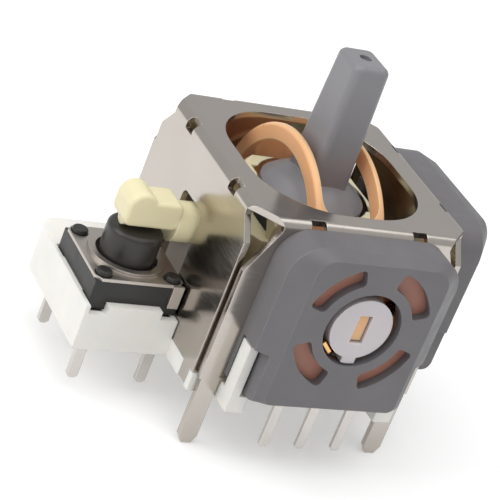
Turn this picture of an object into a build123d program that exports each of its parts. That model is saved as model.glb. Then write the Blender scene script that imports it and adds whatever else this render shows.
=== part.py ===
from build123d import *
from math import cos, radians, sin, sqrt
import os

# Two-axis thumb stick module with two rotary potentiometers and a push switch.
# Millimetres. The origin is on the stick's axis, in the plane of the circuit board.
# The front potentiometer is at -Y, the right one at +X, the switch at -X, and +Z is up.

# Length by which a cut runs past the face where it starts or ends
cut_over = 1.0

# Folded steel frame
sheet = 0.4
frame_half = 7.5
frame_top = 12.3
frame_bottom = 1.2
plate_corner_cut = 1.75
bend_inner = 0.15
opening_rim_x = 1.8
opening_rim_y = 1.5
opening_flat = 1.1
relief_offset = 3.48
relief_length = 1.0
relief_depth = 0.55
relief_drop = 0.75
wide_wall_inset = 0.25
wide_shoulder_drop = 2.8
narrow_shoulder_drop = 1.3
narrow_wall_inset = 0.65
leg_width = 1.2
leg_inset = 1.0
leg_tip = -3.4
leg_point = 0.5
clinch_width = 0.9
clinch_inset = 1.5
clinch_foot = 0.6
clinch_gap = 0.05

# Gimbal
gimbal_z = 7.3
journal_radius = 1.2
journal_clearance = 0.08
tang_thickness = 0.7
tang_height = 1.7
tang_clearance = 0.1

# Upper yoke, an arch over the stick that turns about Y
arch_end_clearance = 0.45
arch_wall = 1.05
arch_rail = 0.42
arch_ear_radius = 2.65
arch_slot_end = 1.6
arch_slot_clearance = 0.5
arch_slot_corner = 0.8
thrust_radius = 1.8
thrust_clearance = 0.15

# Lower yoke, a cradle round the stick that turns about X
cradle_gap = 0.15
cradle_cavity_share = 0.89
cradle_x_share = 0.845
cradle_y_share = 0.62
cradle_slot_share = 0.62
horn_x_share = 0.68
horn_z_share = 0.605
cradle_drop = 2.2
cheek_rise = 1.2
cradle_slot_clearance = 0.1
lever_arm_radius = 1.25
lever_slot_clearance = 0.25
pad_gap = 0.9
pad_length = 3.6
pad_half_width = 1.1
pad_base_drop = 0.15
pad_height = 1.75
pad_corner = 0.45
pad_lobe_radius = 0.95
pad_lobe_rise = 1.25
pad_edge_round = 0.25
keel_radius = 0.55
keel_length = 2.4

# Stick
stick_top = 19.65
stem_width = 2.95
stem_depth = 3.4
stem_edge = 0.35
stem_top_width = 2.4
stem_top_depth = 2.95
stem_top_edge = 0.55
stem_top_round = 0.45
gate_radius = 0.4
gate_depth = 0.25
hub_radius = 1.7
hub_half_length = 2.0
dome_clearance = 0.2
dome_wall = 0.5
dome_rim_share = 0.71
foot_neck_radius = 1.2
foot_radius = 2.0
foot_crown = 4.2
foot_thickness = 0.9
pin_radius = 0.75
pin_end_gap = 0.08
pin_clearance = 0.05
pin_seat_clearance = 0.02

# Potentiometers
pot_half_width = 5.8
pot_face_half_width = 4.5
pot_depth = 2.9
pot_bevel_depth = 0.9
pot_top = 12.0
pot_bottom = 1.45
pot_top_round = 2.0
pot_bottom_round = 0.5
pot_face_inset = 0.25
pot_face_round = 1.2
pot_face_wall = 0.6
pot_cavity_half_width = 4.4
pot_cavity_wall = 0.9
pot_cavity_corner = 0.4
window_inner = 3.15
window_outer = 4.3
window_half_angle = 27
window_corner = 0.3
centre_hole = 2.5
peg_size = 1.0
peg_offset = 5.1
peg_z = 8.6
peg_reach = 0.3
peg_clearance = 0.1
notch_depth = 0.8
notch_start = 0.3
notch_end = 2.6
notch_height = 3.35
board_thickness = 0.5
board_edge_clearance = 0.1
board_hole = 2.6
rotor_hub_radius = 2.0
rotor_hub_reach = 2.75
rotor_flange_radius = 3.8
rotor_flange_start = 0.25
rotor_flange_thickness = 0.6
rotor_lug_reach = 2.38
rotor_lug_width = 0.9
socket_depth = 1.6
wiper_thickness = 0.12
wiper_ring_outer = 2.95
wiper_ring_clearance = 0.1
wiper_gap = 0.05
wiper_finger_width = 0.7
wiper_tab_width = 0.9
pot_pin_spacing = 2.5
pot_pin_width = 0.6
pot_pin_thickness = 0.25
pot_pin_tip = -2.07
pot_pad_radius = 0.7
pot_pad_z = 2.75

# Moulded base
base_inset_y = 0.5
tray_clearance = 0.1
tray_top = 1.8
tray_corner = 0.5
spring_floor = 0.6
cup_clearance = 0.15
cup_wall = 0.65
cup_top = 2.8
spring_post_clearance = 0.7
post_height = 0.6
peg_foot_size_x = 0.6
peg_foot_start = 0.4
peg_foot_end = 1.45
peg_foot_height = 4.6
peg_foot_clearance = 0.05
tongue_width = 1.2
tongue_thickness = 1.15
holder_margin_x = 0.3
holder_margin_y = 0.6
holder_back_inset = 0.7
holder_top = 3.0
holder_corner = 1.5
holder_gap = 0.05

# Return spring and plate
spring_inset = 0.65
spring_wire = 0.2
spring_turns = 2.5
plate_rim_inset = 0.351855
plate_thickness = 0.5
plate_skirt = 0.4
plate_skirt_wall = 0.25
return_gap = 0.05

# Push switch
switch_gap = 0.1
switch_half = 2.9
switch_top = 4.36
switch_corner = 0.3
switch_cavity_wall = 0.55
switch_cavity_floor = 3.35
switch_foot_size = 1.1
switch_foot_height = 0.5
switch_foot_clearance = 0.05
rivet_inset = 0.65
rivet_radius = 0.5
rivet_height = 0.3
rivet_clearance = 0.05
cover_thickness = 0.2
cover_corner = 0.4
cover_hole_clearance = 0.2
cover_collar_width = 0.45
cover_collar_height = 0.2
cover_clip_width = 0.7
cover_clip_drop = 1.5
cover_clip_inset = 0.1
plunger_inset = 1.15
plunger_round = 0.35
plunger_gap = 0.06
plunger_flange_width = 0.45
plunger_flange_thickness = 0.28
plunger_flange_gap = 0.05
dome_rim_gap = 0.25
dome_height = 0.6
dome_thickness = 0.08
dome_gap = 0.05
switch_pin_inset_x = 0.65
switch_pin_inset_y = 0.05
switch_pin_width = 0.7
switch_pin_thickness = 0.3
switch_pin_tip = -2.4
switch_pin_top = 2.4
switch_pin_clearance = 0.05

# Sizes that follow from the ones above
inner_half = frame_half - sheet
plate_side_half = frame_half - plate_corner_cut
opening_half_x = frame_half - opening_rim_x
opening_half_y = frame_half - opening_rim_y
opening_corner = opening_half_x - opening_flat
wide_wall_half = frame_half - wide_wall_inset
narrow_wall_half = frame_half - narrow_wall_inset
clinch_offset = frame_half - clinch_inset
arch_outer = inner_half - arch_end_clearance
arch_inner = arch_outer - arch_wall
arch_slot_half_length = arch_outer - arch_slot_end
slot_half = stem_width / 2 + arch_slot_clearance
arch_half_width = slot_half + arch_rail
cradle_outer = arch_inner - cradle_gap
cradle_cavity = cradle_outer * cradle_cavity_share
cradle_half_x = cradle_outer * cradle_x_share
cradle_half_y = cradle_outer * cradle_y_share
cradle_slot_half_x = cradle_outer * cradle_slot_share
horn_half_x = cradle_outer * horn_x_share
cradle_rise = cradle_outer * horn_z_share
pin_half_length = cradle_half_y - pin_end_gap
dome_outer = cradle_cavity - dome_clearance
dome_rim = dome_outer * dome_rim_share
pad_inner = frame_half + pad_gap
pad_outer = pad_inner + pad_length
switch_x = -frame_half - switch_gap - switch_half
switch_cavity_radius = switch_half - switch_cavity_wall
rivet_offset = switch_half - rivet_inset
plunger_radius = switch_half - plunger_inset
plunger_flange_radius = plunger_radius + plunger_flange_width
cover_hole = plunger_radius + cover_hole_clearance
cover_collar_outer = cover_hole + cover_collar_width
rivet_hole = rivet_radius + rivet_clearance
dome_radius = switch_cavity_radius - dome_rim_gap
switch_pin_offset_x = switch_half - switch_pin_inset_x
switch_pin_offset_y = switch_half - switch_pin_inset_y
base_half_y = frame_half - base_inset_y
holder_outer_x = switch_half + holder_margin_x - switch_x
holder_front_y = -switch_half - holder_margin_y
holder_back_y = base_half_y - holder_back_inset
cradle_slot_half_y = hub_half_length + cradle_slot_clearance
bearing_hole = journal_radius + journal_clearance
board_back = pot_depth - pot_face_wall - board_thickness
wiper_seat = rotor_flange_start + rotor_flange_thickness
plunger_top = gimbal_z - keel_radius - plunger_gap
plate_radius = dome_rim - plate_rim_inset
cup_inner = plate_radius + cup_clearance
spring_radius = plate_radius - spring_inset
spring_post_radius = spring_radius - spring_post_clearance
return_plate_top = gimbal_z - foot_crown - return_gap
spring_top = return_plate_top - plate_thickness - return_gap
leg_centre = frame_half - leg_inset
bend_outer = bend_inner + sheet
shoulder_start = bend_outer + sheet / 2
switch_foot_inner = switch_half - switch_foot_size - switch_foot_clearance
switch_foot_outer = switch_half + cover_thickness + switch_foot_clearance


def outward(depth):
    """Plane parallel to the front wall, depth outside it, with x along X and y along Z."""
    return Plane(origin=(0, -(frame_half + depth), 0), x_dir=(1, 0, 0), z_dir=(0, -1, 0))


def outward_slab(sketch, start, end):
    """Solid of a sketch in the front wall's plane, from start to end outside the wall."""
    return extrude(outward(start) * sketch, end - start, dir=(0, -1, 0))


def block(x0, x1, y0, y1, z0, z1):
    return Pos((x0 + x1) / 2, (y0 + y1) / 2, (z0 + z1) / 2) * Box(x1 - x0, y1 - y0, z1 - z0)


def rod(radius, x0, x1, z):
    """Round rod along X."""
    return Pos((x0 + x1) / 2, 0, z) * Rot(0, 90, 0) * Cylinder(radius, x1 - x0)


def disc(radius, z0, z1, x=0, y=0):
    """Upright cylinder."""
    return Pos(x, y, (z0 + z1) / 2) * Cylinder(radius, z1 - z0)


def frame_wall(half, shoulder_drop):
    """Front wall of the folded frame, a flat sheet that widens below its bend."""
    right = [
        (plate_side_half, frame_top),
        (plate_side_half, frame_top - shoulder_start),
        (half, frame_top - shoulder_start - shoulder_drop),
        (half, frame_bottom),
    ]
    left = [(-x, z) for x, z in reversed(right)]
    return outward_slab(Polygon(*right, *left, align=None), -sheet, 0)


def frame_leg(side):
    """Solder leg below the front wall, with a pointed tip."""
    root = frame_bottom + leg_width
    leg = Pos(side * leg_centre, 0) * Polygon(
        (-leg_width / 2, root),
        (-leg_width / 2, leg_tip + leg_point),
        (-leg_width / 4, leg_tip),
        (leg_width / 4, leg_tip),
        (leg_width / 2, leg_tip + leg_point),
        (leg_width / 2, root),
        align=None,
    )
    return outward_slab(leg, -sheet, 0)


def bend_bar(radius, half_length):
    """Square bar along the front bend's centre line, less the round that the sheet follows."""
    y = bend_outer - frame_half
    z = frame_top - bend_outer
    bar = block(-half_length, half_length, y - radius, y, z, z + radius)
    return bar - Pos(0, y, z) * Rot(0, 90, 0) * Cylinder(radius, 4 * frame_half)


def bend_outside():
    """Waste outside the front bend."""
    return bend_bar(bend_outer, frame_half)


def bend_inside():
    """Metal that fills the inner corner of the front bend."""
    return bend_bar(bend_inner, plate_side_half)


def relief_cut(side):
    """Square notch across the front bend, which lets the sheet fold."""
    return block(
        side * relief_offset - relief_length / 2,
        side * relief_offset + relief_length / 2,
        -frame_half - sheet,
        -frame_half + relief_depth,
        frame_top - relief_drop,
        frame_top + sheet,
    )


def clinch_tab(side):
    """Tab folded in under the base at the foot of the left wall."""
    y0 = side * clinch_offset - clinch_width / 2
    y1 = y0 + clinch_width
    foot_top = frame_bottom / 2 - clinch_gap
    drop = block(-frame_half, -inner_half, y0, y1, foot_top - sheet, frame_bottom + sheet)
    return drop + block(-frame_half, -inner_half + clinch_foot, y0, y1, foot_top - sheet, foot_top)


def lever_slot():
    """Open-ended slot in the left wall, in which the lever arm works up and down."""
    half = lever_arm_radius + lever_slot_clearance
    top = gimbal_z + half
    slot = block(-frame_half - sheet, -inner_half + sheet, -half, half, frame_bottom - sheet, top)
    corners = slot.edges().filter_by(Axis.X).sort_by(Axis.Z)[-2:]
    return fillet(corners, half / 3)


def make_frame():
    """Octagonal top plate with four folded walls, four legs and the clinch tabs."""
    outline = chamfer(Rectangle(2 * frame_half, 2 * frame_half).vertices(), plate_corner_cut)
    opening = fillet(Rectangle(2 * opening_half_x, 2 * opening_half_y).vertices(), opening_corner)
    frame = extrude(Plane.XY.offset(frame_top - sheet) * (outline - opening), sheet)
    for angle in (0, 180):
        frame += Rot(0, 0, angle) * frame_wall(wide_wall_half, wide_shoulder_drop)
        for side in (-1, 1):
            frame += Rot(0, 0, angle) * frame_leg(side)
    for angle in (90, 270):
        frame += Rot(0, 0, angle) * frame_wall(narrow_wall_half, narrow_shoulder_drop)
    for angle in (0, 90, 180, 270):
        frame += Rot(0, 0, angle) * bend_inside()
        frame -= Rot(0, 0, angle) * bend_outside()
        for side in (-1, 1):
            frame -= Rot(0, 0, angle) * relief_cut(side)
    for angle in (0, 90, 180):
        frame -= Rot(0, 0, angle) * outward_slab(Pos(0, gimbal_z) * Circle(bearing_hole), -2 * sheet, sheet)
    for angle in (0, 90):
        for side in (-1, 1):
            hole = Pos(side * peg_offset, peg_z) * Rectangle(peg_size, peg_size)
            frame -= Rot(0, 0, angle) * outward_slab(hole, -2 * sheet, sheet)
    frame -= lever_slot()
    for angle in (0, 180):
        for side in (-1, 1):
            frame += Rot(0, 0, angle) * clinch_tab(side)
    return frame


def clinch_notch(side):
    """Room in the base for one clinch tab."""
    half = clinch_width / 2 + clinch_gap
    y = side * clinch_offset
    outer_x = -frame_half - clinch_gap
    tab_x = -inner_half + clinch_gap
    foot_x = tab_x + clinch_foot
    notch = block(outer_x, foot_x, y - half, y + half, -cut_over, frame_bottom / 2)
    return notch + block(outer_x, tab_x, y - half, y + half, -cut_over, frame_bottom + cut_over)


def base_peg(side):
    """Locating foot beside the front potentiometer, on a tongue under the wall."""
    outer = pot_half_width - peg_foot_clearance
    x0, x1 = sorted((side * (outer - peg_foot_size_x), side * outer))
    far_y = -frame_half - peg_foot_end
    foot = block(x0, x1, far_y, -frame_half - peg_foot_start, 0, peg_foot_height)
    t0, t1 = sorted((side * (outer - tongue_width), side * outer))
    return foot + block(t0, t1, far_y, -base_half_y + tray_clearance, 0, tongue_thickness)


def switch_pin_slot(sx, sy, top):
    """Room for one pin of the push switch, up to a height, drawn about the switch's centre."""
    x = sx * switch_pin_offset_x
    y = sy * switch_pin_offset_y
    half_x = switch_pin_width / 2 + switch_pin_clearance
    half_y = switch_pin_thickness / 2 + switch_pin_clearance
    return block(x - half_x, x + half_x, y - half_y, y + half_y, -cut_over, top)


def switch_holder():
    """Block under the push switch, with a rounded far corner and holes for its pins."""
    holder = block(-holder_outer_x, -frame_half + sheet, holder_front_y, holder_back_y, 0, holder_top)
    corner = holder.edges().filter_by(Axis.Z).sort_by(Axis.X)[:2].sort_by(Axis.Y)[-1]
    holder = fillet(corner, holder_corner)
    wall_x = -frame_half - holder_gap
    holder -= block(wall_x, 0, -frame_half, frame_half, frame_bottom, holder_top + cut_over)
    for sx in (-1, 1):
        for sy in (-1, 1):
            x0, x1 = sorted((sx * (switch_half + switch_foot_clearance), sx * switch_foot_inner))
            y0, y1 = sorted((sy * switch_foot_outer, sy * switch_foot_inner))
            if sy < 0:
                y0 = holder_front_y - cut_over
            recess = holder_top - switch_foot_height - switch_foot_clearance
            holder -= Pos(switch_x, 0, 0) * block(x0, x1, y0, y1, recess, holder_top + cut_over)
            holder -= Pos(switch_x, 0, 0) * switch_pin_slot(sx, sy, 2 * holder_top)
    return holder


def make_base():
    """Moulded tray that closes the frame, with the spring cup, the feet and the switch holder."""
    base = block(-frame_half, frame_half, -base_half_y, base_half_y, 0, frame_bottom)
    tray_half = inner_half - tray_clearance
    tray = block(-tray_half, tray_half, -tray_half, tray_half, 0, tray_top)
    base += fillet(tray.edges().filter_by(Axis.Z), tray_corner)
    base += disc(cup_inner + cup_wall, 0, cup_top)
    base -= disc(cup_inner, spring_floor, cup_top + cut_over)
    base += disc(spring_post_radius, 0, spring_floor + post_height)
    for angle, side in ((0, -1), (0, 1), (90, 1)):
        base += Rot(0, 0, angle) * base_peg(side)
    base += switch_holder()
    for angle in (0, 180):
        for side in (-1, 1):
            base -= Rot(0, 0, angle) * clinch_notch(side)
    return base


def pot_window(angle):
    """One curved window in the face, an arc slot with eased corners."""
    reach = 2 * window_outer
    edge = radians(window_half_angle)
    x = reach * cos(edge)
    y = reach * sin(edge)
    wedge = Polygon((0, 0), (x, -y), (x, y), align=None)
    arc = (Circle(window_outer) - Circle(window_inner)) & wedge
    return Rot(0, 0, angle) * fillet(arc.vertices(), window_corner)


def pot_housing():
    """Bevelled cap housing of the front potentiometer, open towards the frame."""
    height = pot_top - pot_bottom
    middle = (pot_top + pot_bottom) / 2
    outline = Rectangle(2 * pot_half_width, height)
    outline = fillet(outline.vertices().sort_by(Axis.Y)[-2:], pot_top_round)
    outline = fillet(outline.vertices().sort_by(Axis.Y)[:2], pot_bottom_round)
    face = Rectangle(2 * pot_face_half_width, height - 2 * pot_face_inset)
    face = fillet(face.vertices().sort_by(Axis.Y)[-2:], pot_face_round)
    face = fillet(face.vertices().sort_by(Axis.Y)[:2], pot_bottom_round)
    outline = Pos(0, middle) * outline
    bevel_start = pot_depth - pot_bevel_depth
    shell = outward_slab(outline, 0, bevel_start)
    shell += loft([outward(bevel_start) * outline, outward(pot_depth) * Pos(0, middle) * face], ruled=True)
    cavity_size = (2 * pot_cavity_half_width, height - 2 * pot_cavity_wall)
    cavity = Pos(0, middle) * RectangleRounded(*cavity_size, pot_cavity_corner)
    shell -= outward_slab(cavity, -cut_over, pot_depth - pot_face_wall)
    for quarter in range(4):
        window = Pos(0, gimbal_z) * pot_window(45 + 90 * quarter)
        shell -= outward_slab(window, 0, pot_depth + cut_over)
    shell -= outward_slab(Pos(0, gimbal_z) * Circle(centre_hole), 0, pot_depth + cut_over)
    pin_gap = Pos(0, pot_bottom) * Rectangle(2 * pot_pin_spacing + 2 * pot_pad_radius, 4 * pot_cavity_wall)
    shell -= outward_slab(pin_gap, board_back - 2 * pot_pin_thickness, pot_depth - pot_face_wall)
    for side in (-1, 1):
        x0, x1 = sorted((side * (pot_half_width - notch_depth), side * (pot_half_width + cut_over)))
        y0 = -frame_half - notch_end
        y1 = -frame_half - notch_start
        shell -= block(x0, x1, y0, y1, pot_bottom - cut_over, pot_bottom + notch_height)
        peg_side = peg_size - 2 * peg_clearance
        peg = Pos(side * peg_offset, peg_z) * Rectangle(peg_side, peg_side)
        shell += outward_slab(peg, -sheet - peg_reach, notch_start)
    return shell


def pot_board():
    """Resistor board behind the face of the front potentiometer."""
    half = pot_cavity_half_width - board_edge_clearance
    low = pot_bottom + pot_cavity_wall + board_edge_clearance
    high = pot_top - pot_cavity_wall - board_edge_clearance
    board = Pos(0, (low + high) / 2) * Rectangle(2 * half, high - low)
    board -= Pos(0, gimbal_z) * Circle(board_hole)
    return outward_slab(board, board_back, board_back + board_thickness)


def pot_rotor():
    """Rotor of the front potentiometer: flange, hub, blind socket and slot for the shaft's tang."""
    centre = Pos(0, gimbal_z)
    rotor = outward_slab(centre * Circle(rotor_hub_radius), rotor_flange_start, rotor_hub_reach)
    rotor += outward_slab(centre * Circle(rotor_flange_radius), rotor_flange_start, wiper_seat)
    lug = Pos(0, gimbal_z - rotor_lug_reach / 2) * Rectangle(rotor_lug_width, rotor_lug_reach)
    lug &= centre * Circle(rotor_lug_reach)
    rotor += outward_slab(lug, board_back, rotor_hub_reach)
    socket = centre * Circle(bearing_hole)
    rotor -= outward_slab(socket, 0, socket_depth)
    slot = centre * Rectangle(tang_thickness + 2 * tang_clearance, tang_height + 2 * tang_clearance)
    rotor -= outward_slab(slot, 0, rotor_hub_reach + cut_over)
    return rotor


def wiper_finger(angle):
    """Spring finger from the wiper's ring out to the board, bent at both ends."""
    reach = board_back - wiper_gap
    start = wiper_seat + wiper_thickness
    r0 = rotor_hub_radius + wiper_ring_clearance
    profile = Polygon((r0, start - wiper_thickness), (wiper_ring_outer, reach - wiper_thickness),
                      (wiper_ring_outer, reach), (r0, start), align=None)
    level = Plane(origin=(0, -frame_half, gimbal_z), x_dir=(1, 0, 0), z_dir=(0, 0, 1))
    finger = extrude(level * mirror(profile, about=Plane.XZ), wiper_finger_width / 2, both=True)
    return turn_about_front(finger, angle)


def turn_about_front(shape, angle):
    """Turn a shape about the front potentiometer's axis."""
    return Pos(0, 0, gimbal_z) * Rot(0, angle, 0) * Pos(0, 0, -gimbal_z) * shape


def pot_wiper():
    """Brass wiper on the rotor's flange, with two contact fingers and a collector tab."""
    r0 = rotor_hub_radius + wiper_ring_clearance
    ring = Circle(wiper_ring_outer) - Circle(r0)
    wiper = outward_slab(Pos(0, gimbal_z) * ring, wiper_seat, wiper_seat + wiper_thickness)
    for angle in (0, 180):
        wiper += wiper_finger(angle)
    tab = Pos(r0 + wiper_thickness, gimbal_z) * Rectangle(2 * wiper_thickness, wiper_tab_width)
    tab = outward_slab(tab, wiper_seat, rotor_hub_reach - 2 * wiper_thickness)
    return wiper + turn_about_front(tab, 135)


def pot_terminals():
    """Three terminals on the back of the board, each a round pad with a solder pin."""
    pins = []
    for place in (-1, 0, 1):
        x = place * pot_pin_spacing
        pin = Pos(x, (pot_pad_z + pot_pin_tip) / 2) * Rectangle(pot_pin_width, pot_pad_z - pot_pin_tip)
        pin = chamfer(pin.vertices().sort_by(Axis.Y)[:2], pot_pin_width / 4)
        pin += Pos(x, pot_pad_z) * Circle(pot_pad_radius)
        pins.append(outward_slab(pin, board_back - pot_pin_thickness, board_back))
    return pins


def yoke_shaft():
    """Journal and tang that reach from inside the front wall into the potentiometer's rotor."""
    centre = Pos(0, gimbal_z)
    journal = outward_slab(centre * Circle(journal_radius), arch_inner - frame_half, socket_depth - tang_clearance)
    tang = centre * Rectangle(tang_thickness, tang_height)
    return journal + outward_slab(tang, 0, rotor_hub_reach - 2 * tang_clearance)


def make_upper_yoke():
    """Arch over the stick with a lengthwise slot, a shaft at the front and a journal at the back."""
    arch = Circle(arch_outer) - Circle(arch_inner)
    arch &= Pos(0, arch_outer) * Rectangle(4 * arch_outer, 2 * arch_outer)
    side = Plane(origin=(0, 0, gimbal_z), x_dir=(0, 1, 0), z_dir=(1, 0, 0))
    arch = extrude(side * arch, arch_half_width, both=True)
    rails = arch.edges().filter_by(GeomType.CIRCLE).group_by(SortBy.RADIUS)[-1]
    arch = fillet(rails, arch_wall / 4)
    slot = Box(2 * slot_half, 2 * arch_slot_half_length, 2 * arch_outer)
    slot = fillet(slot.edges().filter_by(Axis.Z), arch_slot_corner)
    arch -= Pos(0, 0, gimbal_z + arch_outer + journal_radius) * slot
    centre = Pos(0, gimbal_z)
    start = arch_inner - frame_half
    for angle in (0, 180):
        ear = outward_slab(centre * Circle(arch_ear_radius), start, arch_outer - frame_half)
        ear += outward_slab(centre * Circle(thrust_radius), start, -sheet - thrust_clearance)
        arch += Rot(0, 0, angle) * ear
    journal = outward_slab(centre * Circle(journal_radius), start, 0)
    return arch + yoke_shaft() + Rot(0, 0, 180) * journal


def cradle():
    """Bowl-shaped ring with four horns, slotted for the stick's hub."""
    centre = Pos(0, 0, gimbal_z)
    body = centre * Sphere(cradle_outer)
    body &= block(-cradle_half_x, cradle_half_x, -cradle_half_y, cradle_half_y,
                  gimbal_z - cradle_drop, gimbal_z + cradle_rise)
    bowl = centre * Sphere(cradle_cavity)
    bowl &= block(-cradle_outer, cradle_outer, -cradle_outer, cradle_outer,
                  gimbal_z + cheek_rise, gimbal_z + cradle_outer)
    body -= bowl
    for side in (-1, 1):
        x0, x1 = sorted((side * horn_half_x, side * cradle_outer))
        body -= block(x0, x1, -cradle_outer, cradle_outer, gimbal_z + cheek_rise, gimbal_z + cradle_outer)
    body -= block(-cradle_slot_half_x, cradle_slot_half_x, -cradle_slot_half_y, cradle_slot_half_y,
                  gimbal_z - 2 * cradle_drop, gimbal_z + 2 * cradle_rise)
    pin_hole = centre * Rot(90, 0, 0) * Cylinder(pin_radius + pin_seat_clearance, 4 * cradle_half_y)
    return body - pin_hole


def lever_pad():
    """Pad over the push switch, with a raised lobe and a rounded keel on the tilt axis."""
    base = gimbal_z - pad_base_drop
    middle = (-(pad_inner + pad_outer) / 2, base + pad_height / 2)
    outline = Pos(*middle) * RectangleRounded(pad_length, pad_height, pad_corner)
    outline += Pos(-pad_outer + pad_lobe_radius, base + pad_lobe_rise) * Circle(pad_lobe_radius)
    pad = extrude(Plane.XZ * outline, pad_half_width, both=True)
    sides = pad.faces().sort_by(Axis.Y)
    pad = fillet(sides[0].edges() + sides[-1].edges(), pad_edge_round)
    return pad + rod(keel_radius, switch_x - keel_length / 2, switch_x + keel_length / 2, gimbal_z)


def make_lower_yoke():
    """Cradle with the shaft on the right and the lever arm and pad on the left."""
    yoke = cradle()
    yoke += rod(journal_radius, cradle_slot_half_x, inner_half, gimbal_z)
    yoke += Rot(0, 0, 90) * yoke_shaft()
    yoke += rod(lever_arm_radius, -pad_inner - pad_corner / 3, -cradle_slot_half_x, gimbal_z)
    return yoke + lever_pad()


def stick_stem():
    """Rectangular stem, tapered from the pivot to its rounded top, with the gate mark in the middle."""
    low = RectangleRounded(stem_width, stem_depth, stem_edge)
    high = RectangleRounded(stem_top_width, stem_top_depth, stem_top_edge)
    stem = loft([Plane.XY.offset(gimbal_z) * low, Plane.XY.offset(stick_top) * high])
    stem = fillet(stem.faces().sort_by(Axis.Z)[-1].edges(), stem_top_round)
    return stem - disc(gate_radius, stick_top - gate_depth, stick_top + cut_over)


def stick_core():
    """Round parts of the stick: the dust dome, the lower neck and the crowned foot."""
    dome_inner = dome_outer - dome_wall
    rim_outer_z = sqrt(dome_outer**2 - dome_rim**2)
    rim_inner_z = sqrt(dome_inner**2 - dome_rim**2)
    dome = Polyline((0, dome_inner), (0, dome_outer))
    dome += RadiusArc((0, dome_outer), (dome_rim, rim_outer_z), dome_outer)
    dome += Line((dome_rim, rim_outer_z), (dome_rim, rim_inner_z))
    dome += RadiusArc((dome_rim, rim_inner_z), (0, dome_inner), -dome_inner)
    core = revolve(Plane.XZ * make_face(dome), Axis.Z)
    crown_z = -sqrt(foot_crown**2 - foot_radius**2)
    back_z = -foot_crown + foot_thickness
    foot = Polyline((0, back_z), (foot_radius, crown_z + foot_thickness), (foot_radius, crown_z))
    foot += RadiusArc((foot_radius, crown_z), (0, -foot_crown), foot_crown)
    foot += Line((0, -foot_crown), (0, back_z))
    core += revolve(Plane.XZ * make_face(foot), Axis.Z)
    core = Pos(0, 0, gimbal_z) * core
    return core + disc(foot_neck_radius, gimbal_z - foot_crown + foot_thickness / 2, gimbal_z)


def make_stick():
    """Stem, dust dome, pivot hub and foot in one moulding, bored for the pivot pin."""
    hub = Pos(0, 0, gimbal_z) * Rot(90, 0, 0) * Cylinder(hub_radius, 2 * hub_half_length)
    stick = stick_core() + hub + stick_stem()
    bore = Pos(0, 0, gimbal_z) * Rot(90, 0, 0) * Cylinder(pin_radius + pin_clearance, 4 * hub_half_length)
    return stick - bore


def make_pivot_pin():
    """Steel pin that joins the stick to the lower yoke."""
    pin = Cylinder(pin_radius, 2 * pin_half_length)
    pin = chamfer(pin.edges().filter_by(GeomType.CIRCLE), pin_radius / 5)
    return Pos(0, 0, gimbal_z) * Rot(90, 0, 0) * pin


def make_return_plate():
    """Flat cup between the stick's foot and the return spring."""
    top = return_plate_top
    plate = disc(plate_radius, top - plate_thickness, top)
    plate += disc(plate_radius, top - plate_thickness - plate_skirt, top)
    inner = plate_radius - plate_skirt_wall
    return plate - disc(inner, 0, top - plate_thickness)


def make_return_spring():
    """Open coil spring that stands in the base's cup."""
    low = spring_floor + spring_wire
    rise = spring_top - spring_wire - low
    helix = Helix(rise / spring_turns, rise, spring_radius)
    section = Plane(origin=helix @ 0, z_dir=helix % 0) * Circle(spring_wire)
    return Pos(0, 0, low) * sweep(section, path=helix, is_frenet=True)


def switch_frame(part):
    """Place a piece of the push switch that is drawn about its own centre."""
    return Pos(switch_x, 0, 0) * part


def make_switch_body():
    """Square moulded switch case with feet, a round cavity and four rivet posts."""
    body = block(-switch_half, switch_half, -switch_half, switch_half, holder_top, switch_top)
    body = fillet(body.edges().filter_by(Axis.Z), switch_corner)
    for sx in (-1, 1):
        for sy in (-1, 1):
            x0, x1 = sorted((sx * switch_half, sx * (switch_half - switch_foot_size)))
            y0, y1 = sorted((sy * switch_half, sy * (switch_half - switch_foot_size)))
            body += block(x0, x1, y0, y1, holder_top - switch_foot_height, switch_top)
            rivet_top = switch_top + cover_thickness + rivet_height
            place = (sx * rivet_offset, sy * rivet_offset)
            rivet = disc(rivet_radius, switch_top - rivet_height, rivet_top, *place)
            body += fillet(rivet.faces().sort_by(Axis.Z)[-1].edges(), rivet_height / 2)
            body -= switch_pin_slot(sx, sy, switch_pin_top + switch_pin_clearance)
    return switch_frame(body - disc(switch_cavity_radius, switch_cavity_floor, switch_top))


def make_switch_cover():
    """Pressed steel cover with a drawn collar round the plunger and two side clips."""
    top = switch_top + cover_thickness
    plate = block(-switch_half, switch_half, -switch_half, switch_half, switch_top, top)
    plate = chamfer(plate.edges().filter_by(Axis.Z), cover_corner)
    plate += disc(cover_collar_outer, switch_top, top + cover_collar_height)
    plate -= disc(cover_hole, 0, top + cut_over)
    for sx in (-1, 1):
        for sy in (-1, 1):
            plate -= disc(rivet_hole, 0, top + cut_over, sx * rivet_offset, sy * rivet_offset)
    for sy in (-1, 1):
        y0, y1 = sorted((sy * switch_half, sy * (switch_half + cover_thickness)))
        x1 = switch_half - cover_clip_inset
        plate += block(x1 - cover_clip_width, x1, y0, y1, top - cover_clip_drop, top)
    return switch_frame(plate)


def make_switch_plunger():
    """Round plunger with a retaining flange under the cover."""
    stem = disc(plunger_radius, switch_top - plunger_flange_thickness, plunger_top)
    stem = fillet(stem.faces().sort_by(Axis.Z)[-1].edges(), plunger_round)
    flange_top = switch_top - plunger_flange_gap
    flange = disc(plunger_flange_radius, flange_top - plunger_flange_thickness, flange_top)
    return switch_frame(stem + flange)


def make_switch_dome():
    """Snap dome of sprung steel under the plunger."""
    radius = (dome_radius**2 + dome_height**2) / (2 * dome_height)
    base = switch_cavity_floor + dome_gap
    centre = Pos(0, 0, base + dome_height - radius)
    cap = centre * (Sphere(radius) - Sphere(radius - dome_thickness))
    return switch_frame(cap & disc(dome_radius, base, base + dome_height))


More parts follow.
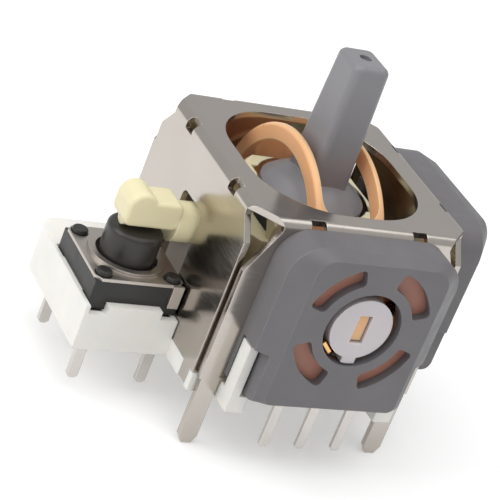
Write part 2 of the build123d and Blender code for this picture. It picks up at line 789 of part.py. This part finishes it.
def make_switch_terminals():
    """Four solder pins of the push switch."""
    pins = []
    for sx in (-1, 1):
        for sy in (-1, 1):
            height = switch_pin_top - switch_pin_tip
            pin = Box(switch_pin_width, switch_pin_thickness, height)
            pin = chamfer(pin.faces().sort_by(Axis.Z)[0].edges().filter_by(Axis.Y), switch_pin_width / 4)
            x = switch_x + sx * switch_pin_offset_x
            pins.append(Pos(x, sy * switch_pin_offset_y, switch_pin_tip + height / 2) * pin)
    return pins


def write(name, shape):
    export_step(shape, os.path.join("parts", name + ".step"))


def write_group(name, shapes):
    write(name, Compound(children=list(shapes)))


os.makedirs("parts", exist_ok=True)
write("frame", make_frame())
write("base", make_base())
write("stick", make_stick())
write("pivot_pin", make_pivot_pin())
write("upper_yoke", make_upper_yoke())
write("lower_yoke", make_lower_yoke())
write("return_plate", make_return_plate())
write("return_spring", make_return_spring())
for side_name, turn in (("front", 0), ("right", 90)):
    place = Rot(0, 0, turn)
    write(side_name + "_pot_housing", place * pot_housing())
    write(side_name + "_pot_board", place * pot_board())
    write(side_name + "_pot_rotor", place * pot_rotor())
    write(side_name + "_pot_wiper", place * pot_wiper())
    write_group(side_name + "_pot_terminals", [place * pin for pin in pot_terminals()])
write("switch_body", make_switch_body())
write("switch_cover", make_switch_cover())
write("switch_plunger", make_switch_plunger())
write("switch_dome", make_switch_dome())
write_group("switch_terminals", make_switch_terminals())
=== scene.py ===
from math import radians

import bpy
from mathutils import Matrix, Vector


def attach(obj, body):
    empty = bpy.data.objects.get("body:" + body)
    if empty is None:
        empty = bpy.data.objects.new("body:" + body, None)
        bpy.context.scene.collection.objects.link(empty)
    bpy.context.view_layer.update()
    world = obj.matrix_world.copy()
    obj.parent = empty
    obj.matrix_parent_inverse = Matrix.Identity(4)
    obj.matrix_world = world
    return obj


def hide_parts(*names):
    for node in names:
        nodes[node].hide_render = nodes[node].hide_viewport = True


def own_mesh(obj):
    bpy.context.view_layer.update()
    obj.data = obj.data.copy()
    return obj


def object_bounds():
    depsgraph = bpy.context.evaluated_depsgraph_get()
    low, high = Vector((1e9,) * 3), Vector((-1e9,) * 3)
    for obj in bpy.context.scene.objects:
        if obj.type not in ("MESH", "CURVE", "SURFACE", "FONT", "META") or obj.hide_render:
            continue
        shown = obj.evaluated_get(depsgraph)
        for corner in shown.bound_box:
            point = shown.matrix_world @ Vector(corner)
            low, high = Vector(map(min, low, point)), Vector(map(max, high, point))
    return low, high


# Thumb stick module: materials, lights, floor and camera around the CAD nodes.
# Metres. The origin is on the stick's axis in the plane of the circuit board.

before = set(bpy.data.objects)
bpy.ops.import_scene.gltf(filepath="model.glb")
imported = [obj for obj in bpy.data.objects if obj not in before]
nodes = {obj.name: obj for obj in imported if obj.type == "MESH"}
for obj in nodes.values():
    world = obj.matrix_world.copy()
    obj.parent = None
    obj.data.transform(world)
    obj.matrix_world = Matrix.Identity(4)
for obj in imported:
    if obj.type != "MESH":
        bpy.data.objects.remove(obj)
cad_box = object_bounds()

MM = 0.001

# Camera, angles in degrees
CAMERA_PLACE = Vector((-67.53, -99.31, 63.57)) * MM
CAMERA_AZIMUTH = -33.23
CAMERA_ELEVATION = 25.93
CAMERA_ROLL = 22.15
CAMERA_NEAR = 0.005
CAMERA_FAR = 20
FOCAL_PIXELS = 2166
IMAGE_PIXELS = 500
SENSOR = 36

# Lamps: name, place, power in watts, side of the square
LAMPS = [
    ("top_lamp", (-0.02, -0.05, 0.6), 2.2, 0.8),
    ("key_lamp", (-0.38, 0.05, 0.28), 0.65, 0.3),
]
LAMP_AIM = Vector((0, 0, 6 * MM))
WORLD_STRENGTH = 0.57

# Floor
FLOOR_COLOUR = (0.85, 0.85, 0.85, 1)
FLOOR_ROUGHNESS = 0.9
FLOOR_SPECULAR = 0.1
FLOOR_LIFT = 0.27
FLOOR_SIDE = 6

# Colours, linear
PURE_WHITE = (1, 1, 1, 1)
STEEL = (0.52, 0.48, 0.44)
WHITE = (0.88, 0.865, 0.82)
GREY = (0.24, 0.235, 0.25)
HOUSING = (0.152, 0.146, 0.153)
AMBER = (1.0, 0.5, 0.26)
CREAM = (0.83, 0.76, 0.5)
BOARD = (0.4, 0.18, 0.13)
ROTOR = (0.62, 0.58, 0.6)
BRASS = (0.85, 0.5, 0.22)
TIN = (0.62, 0.59, 0.56)
BLACK = (0.018, 0.017, 0.016)
PLUNGER = (0.03, 0.027, 0.024)

# Noise: most of its values lie between these two
NOISE_LOW = 0.3
NOISE_HIGH = 0.7
FINE_DETAIL = 5.0
PLAIN_DETAIL = 4.0
SOFT_DETAIL = 3.0

# Edges: radii, the cosine of the turn between eased and true normal, and the noise that breaks up
# the painted edge highlight
PLASTIC_EDGE = 0.1 * MM
METAL_EDGE = 0.06 * MM
BEVEL_SAMPLES = 4
FLAT_TURN = 0.99
EDGE_TURN = 0.95
# waves per metre and least share of the noise that makes the painted edge highlight uneven
EDGE_HIGHLIGHT_WAVES = 620
EDGE_HIGHLIGHT_LEAST = 0.35

# Plastics: waves per metre, then shares of the colour and of the roughness
PLASTIC_PATCH_WAVES = 260
PLASTIC_GLOSS_WAVES = 900
PLASTIC_GRAIN_WAVES = 5200
PLASTIC_GRAIN_DEPTH = 0.012 * MM
PLASTIC_VARIATION = 0.05
# share by which plastic edges are lightened: a painted highlight
PLASTIC_EDGE_HIGHLIGHT = 0.8
PLASTIC_GLOSS_SPREAD = 0.06
GLOW_RADII = (1.0, 0.6, 0.35)

# Metals: the same, with lines from the mill that are stretched across the sheet
METAL_PATCH_WAVES = 180
METAL_LINE_WAVES = 700
METAL_LINE_STRETCH = (1, 1, 14)
METAL_LINE_STRENGTH = 0.05
METAL_LINE_DEPTH = 0.004 * MM
METAL_VARIATION = 0.04
# share by which metal edges are lightened: a painted highlight
METAL_EDGE_HIGHLIGHT = 0.3
METAL_GLOSS_LESS = 0.05
METAL_GLOSS_MORE = 0.07


def new_material(name):
    """A material with its node tree and its main shader."""
    material = bpy.data.materials.new(name)
    material.use_nodes = True
    shader = material.node_tree.nodes["Principled BSDF"]
    return material, material.node_tree, shader


def noise(tree, waves, detail=PLAIN_DETAIL, stretch=(1, 1, 1)):
    """Noise in the object's own coordinates, in waves per metre, multiplied along its axes."""
    place = tree.nodes.new("ShaderNodeTexCoord")
    mapping = tree.nodes.new("ShaderNodeMapping")
    mapping.inputs["Scale"].default_value = stretch
    texture = tree.nodes.new("ShaderNodeTexNoise")
    texture.inputs["Scale"].default_value = waves
    texture.inputs["Detail"].default_value = detail
    tree.links.new(place.outputs["Object"], mapping.inputs["Vector"])
    tree.links.new(mapping.outputs["Vector"], texture.inputs["Vector"])
    return texture.outputs["Fac"]


def ramp(tree, value, low, high):
    """Map a noise onto the range from low to high."""
    node = tree.nodes.new("ShaderNodeMapRange")
    node.inputs["From Min"].default_value = NOISE_LOW
    node.inputs["From Max"].default_value = NOISE_HIGH
    node.inputs["To Min"].default_value = low
    node.inputs["To Max"].default_value = high
    tree.links.new(value, node.inputs["Value"])
    return node.outputs["Result"]


def scaled(colour, share):
    """A colour made lighter or darker, with alpha."""
    return (*[min(1, c * share) for c in colour], 1)


def mixed(tree, factor, low, high):
    """Mix of two colours by a factor; low is a colour or another node's output."""
    mix = tree.nodes.new("ShaderNodeMix")
    mix.data_type = "RGBA"
    if isinstance(low, tuple):
        mix.inputs["A"].default_value = low
    else:
        tree.links.new(low, mix.inputs["A"])
    mix.inputs["B"].default_value = high
    tree.links.new(factor, mix.inputs["Factor"])
    return mix.outputs["Result"]


def math_node(tree, operation, first, second):
    """Maths on a node's output and a number or another output."""
    node = tree.nodes.new("ShaderNodeMath")
    node.operation = operation
    tree.links.new(first, node.inputs[0])
    if isinstance(second, float):
        node.inputs[1].default_value = second
    else:
        tree.links.new(second, node.inputs[1])
    return node.outputs["Value"]


def eased_normal(tree, radius):
    """Normal over edges that are rounded by a small radius."""
    eased = tree.nodes.new("ShaderNodeBevel")
    eased.samples = BEVEL_SAMPLES
    eased.inputs["Radius"].default_value = radius
    return eased.outputs["Normal"]


def painted_edge_highlight(tree, radius):
    """Uneven mask of the painted highlight along the edges, 0 on the flats."""
    geometry = tree.nodes.new("ShaderNodeNewGeometry")
    turn = tree.nodes.new("ShaderNodeVectorMath")
    turn.operation = "DOT_PRODUCT"
    tree.links.new(eased_normal(tree, radius), turn.inputs[0])
    tree.links.new(geometry.outputs["Normal"], turn.inputs[1])
    sharp = tree.nodes.new("ShaderNodeMapRange")
    sharp.inputs["From Min"].default_value = FLAT_TURN
    sharp.inputs["From Max"].default_value = EDGE_TURN
    tree.links.new(turn.outputs["Value"], sharp.inputs["Value"])
    # noise that makes the painted edge highlight uneven
    highlight_breakup = ramp(tree, noise(tree, EDGE_HIGHLIGHT_WAVES), EDGE_HIGHLIGHT_LEAST, 1)
    return math_node(tree, "MULTIPLY", sharp.outputs["Result"], highlight_breakup)


def vary_colour(tree, shader, colour, value, amount, highlight_share, edge):
    """Lighten and darken the base colour by a noise, and lighten it along the edges as a painted
    highlight.
    """
    darker, lighter = scaled(colour, 1 - amount), scaled(colour, 1 + amount)
    body = mixed(tree, ramp(tree, value, 0, 1), darker, lighter)
    # painted highlight: the base colour lightened along the edges
    highlighted = mixed(tree, painted_edge_highlight(tree, edge), body, scaled(colour, 1 + highlight_share))
    tree.links.new(highlighted, shader.inputs["Base Color"])


def bump(tree, shader, value, strength, distance, edge):
    """Small relief from a noise over eased edges."""
    node = tree.nodes.new("ShaderNodeBump")
    node.inputs["Strength"].default_value = strength
    node.inputs["Distance"].default_value = distance
    tree.links.new(value, node.inputs["Height"])
    tree.links.new(eased_normal(tree, edge), node.inputs["Normal"])
    tree.links.new(node.outputs["Normal"], shader.inputs["Normal"])


def plastic(name, colour, roughness, grain=0.35, glow=0.0, glow_scale=0.6 * MM):
    """Injection moulded plastic with a fine spark-eroded grain."""
    material, tree, shader = new_material(name)
    patches = noise(tree, PLASTIC_PATCH_WAVES)
    vary_colour(tree, shader, colour, patches, PLASTIC_VARIATION, PLASTIC_EDGE_HIGHLIGHT, PLASTIC_EDGE)
    gloss = ramp(tree, noise(tree, PLASTIC_GLOSS_WAVES),
                 roughness - PLASTIC_GLOSS_SPREAD, roughness + PLASTIC_GLOSS_SPREAD)
    tree.links.new(gloss, shader.inputs["Roughness"])
    relief = noise(tree, PLASTIC_GRAIN_WAVES, SOFT_DETAIL)
    bump(tree, shader, relief, grain, PLASTIC_GRAIN_DEPTH, PLASTIC_EDGE)
    if glow:
        shader.inputs["Subsurface Weight"].default_value = glow
        shader.inputs["Subsurface Scale"].default_value = glow_scale
        shader.inputs["Subsurface Radius"].default_value = GLOW_RADII
    return material


def metal(name, colour, roughness):
    """Rolled or plated sheet metal with faint lines from the mill."""
    material, tree, shader = new_material(name)
    shader.inputs["Metallic"].default_value = 1
    patches = noise(tree, METAL_PATCH_WAVES)
    vary_colour(tree, shader, colour, patches, METAL_VARIATION, METAL_EDGE_HIGHLIGHT, METAL_EDGE)
    lines = noise(tree, METAL_LINE_WAVES, FINE_DETAIL, METAL_LINE_STRETCH)
    gloss = ramp(tree, lines, roughness - METAL_GLOSS_LESS, roughness + METAL_GLOSS_MORE)
    tree.links.new(gloss, shader.inputs["Roughness"])
    bump(tree, shader, lines, METAL_LINE_STRENGTH, METAL_LINE_DEPTH, METAL_EDGE)
    return material


def paint(material, *names):
    """Give CAD nodes one material."""
    for name in names:
        piece = nodes[name]
        piece.data.materials.clear()
        piece.data.materials.append(material)


def both_sides(part):
    """The two nodes of a part that the front and the right potentiometer both have."""
    return ["front_" + part, "right_" + part]


def make_materials():
    """Finish every CAD node."""
    paint(metal("steel_sheet", STEEL, 0.19), "frame")
    paint(plastic("white_moulding", WHITE, 0.5, glow=0.25), "base", "return_plate")
    paint(plastic("stick_grey", GREY, 0.34), "stick")
    paint(plastic("housing_grey", HOUSING, 0.45, grain=0.5), *both_sides("pot_housing"))
    paint(plastic("amber_moulding", AMBER, 0.32, grain=0.15, glow=0.5, glow_scale=MM), "upper_yoke")
    paint(plastic("cream_moulding", CREAM, 0.4, grain=0.2, glow=0.3), "lower_yoke")
    paint(plastic("laminate", BOARD, 0.5), *both_sides("pot_board"))
    paint(plastic("rotor_white", ROTOR, 0.38, grain=0.2, glow=0.2), *both_sides("pot_rotor"))
    paint(metal("brass_strip", BRASS, 0.25), *both_sides("pot_wiper"))
    paint(metal("tinned_strip", TIN, 0.34), "switch_terminals", *both_sides("pot_terminals"))
    paint(plastic("switch_black", BLACK, 0.4), "switch_body")
    paint(metal("switch_cover_steel", STEEL, 0.38), "switch_cover")
    paint(plastic("plunger_black", PLUNGER, 0.35, grain=0.2), "switch_plunger")
    paint(metal("drawn_wire", STEEL, 0.3), "pivot_pin", "return_spring", "switch_dome")


def flattening(node, name):
    """Copy of a sprung CAD node, hung on the housing body in place of the node."""
    piece = bpy.data.objects.new(name, nodes[node].data.copy())
    bpy.context.collection.objects.link(piece)
    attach(piece, "housing")
    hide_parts(node)
    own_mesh(piece)


def white_to_rays(tree, shader, amount):
    """Lift a surface towards white for camera and mirror rays only, so it lights nothing."""
    paths = tree.nodes.new("ShaderNodeLightPath").outputs
    seen = math_node(tree, "MAXIMUM", paths["Is Camera Ray"], paths["Is Glossy Ray"])
    strength = math_node(tree, "MULTIPLY", seen, amount)
    shader.inputs["Emission Color"].default_value = PURE_WHITE
    tree.links.new(strength, shader.inputs["Emission Strength"])


def make_floor():
    """Pale floor under the legs, which shows as white and keeps the object's shadow."""
    material, tree, shader = new_material("floor")
    shader.inputs["Base Color"].default_value = FLOOR_COLOUR
    shader.inputs["Roughness"].default_value = FLOOR_ROUGHNESS
    shader.inputs["Specular IOR Level"].default_value = FLOOR_SPECULAR
    white_to_rays(tree, shader, FLOOR_LIFT)
    bpy.ops.mesh.primitive_plane_add(size=FLOOR_SIDE, location=(0, 0, cad_box[0][2]))
    floor = bpy.context.object
    floor.name = "floor"
    floor.data.materials.append(material)


def area_light(name, place, power, side):
    """Soft square lamp aimed at the module's middle."""
    data = bpy.data.lights.new(name, "AREA")
    data.energy = power
    data.size = side
    lamp = bpy.data.objects.new(name, data)
    lamp.location = place
    aim = LAMP_AIM - Vector(place)
    lamp.rotation_euler = aim.to_track_quat("-Z", "Y").to_euler()
    bpy.context.collection.objects.link(lamp)


def make_lights():
    """Soft studio light: a broad lamp above, a smaller one on the left, and a pale world."""
    for lamp in LAMPS:
        area_light(*lamp)
    world = bpy.data.worlds.new("studio")
    world.use_nodes = True
    background = world.node_tree.nodes["Background"]
    background.inputs["Color"].default_value = PURE_WHITE
    background.inputs["Strength"].default_value = WORLD_STRENGTH
    bpy.context.scene.world = world


def make_camera():
    """Camera at the photograph's angle, rolled as the photograph is."""
    data = bpy.data.cameras.new("camera")
    data.sensor_width = SENSOR
    data.lens = FOCAL_PIXELS / IMAGE_PIXELS * SENSOR
    data.clip_start = CAMERA_NEAR
    data.clip_end = CAMERA_FAR
    camera = bpy.data.objects.new("camera", data)
    turn = Matrix.Rotation(radians(CAMERA_AZIMUTH), 4, "Z")
    tilt = Matrix.Rotation(radians(90 - CAMERA_ELEVATION), 4, "X")
    roll = Matrix.Rotation(radians(CAMERA_ROLL), 4, "Z")
    camera.matrix_world = Matrix.Translation(CAMERA_PLACE) @ turn @ tilt @ roll
    bpy.context.collection.objects.link(camera)
    bpy.context.scene.camera = camera


make_materials()
flattening("return_spring", "coil_spring")
flattening("switch_dome", "snap_dome")
make_floor()
make_lights()
make_camera()
bpy.context.scene.view_settings.view_transform = "Standard"
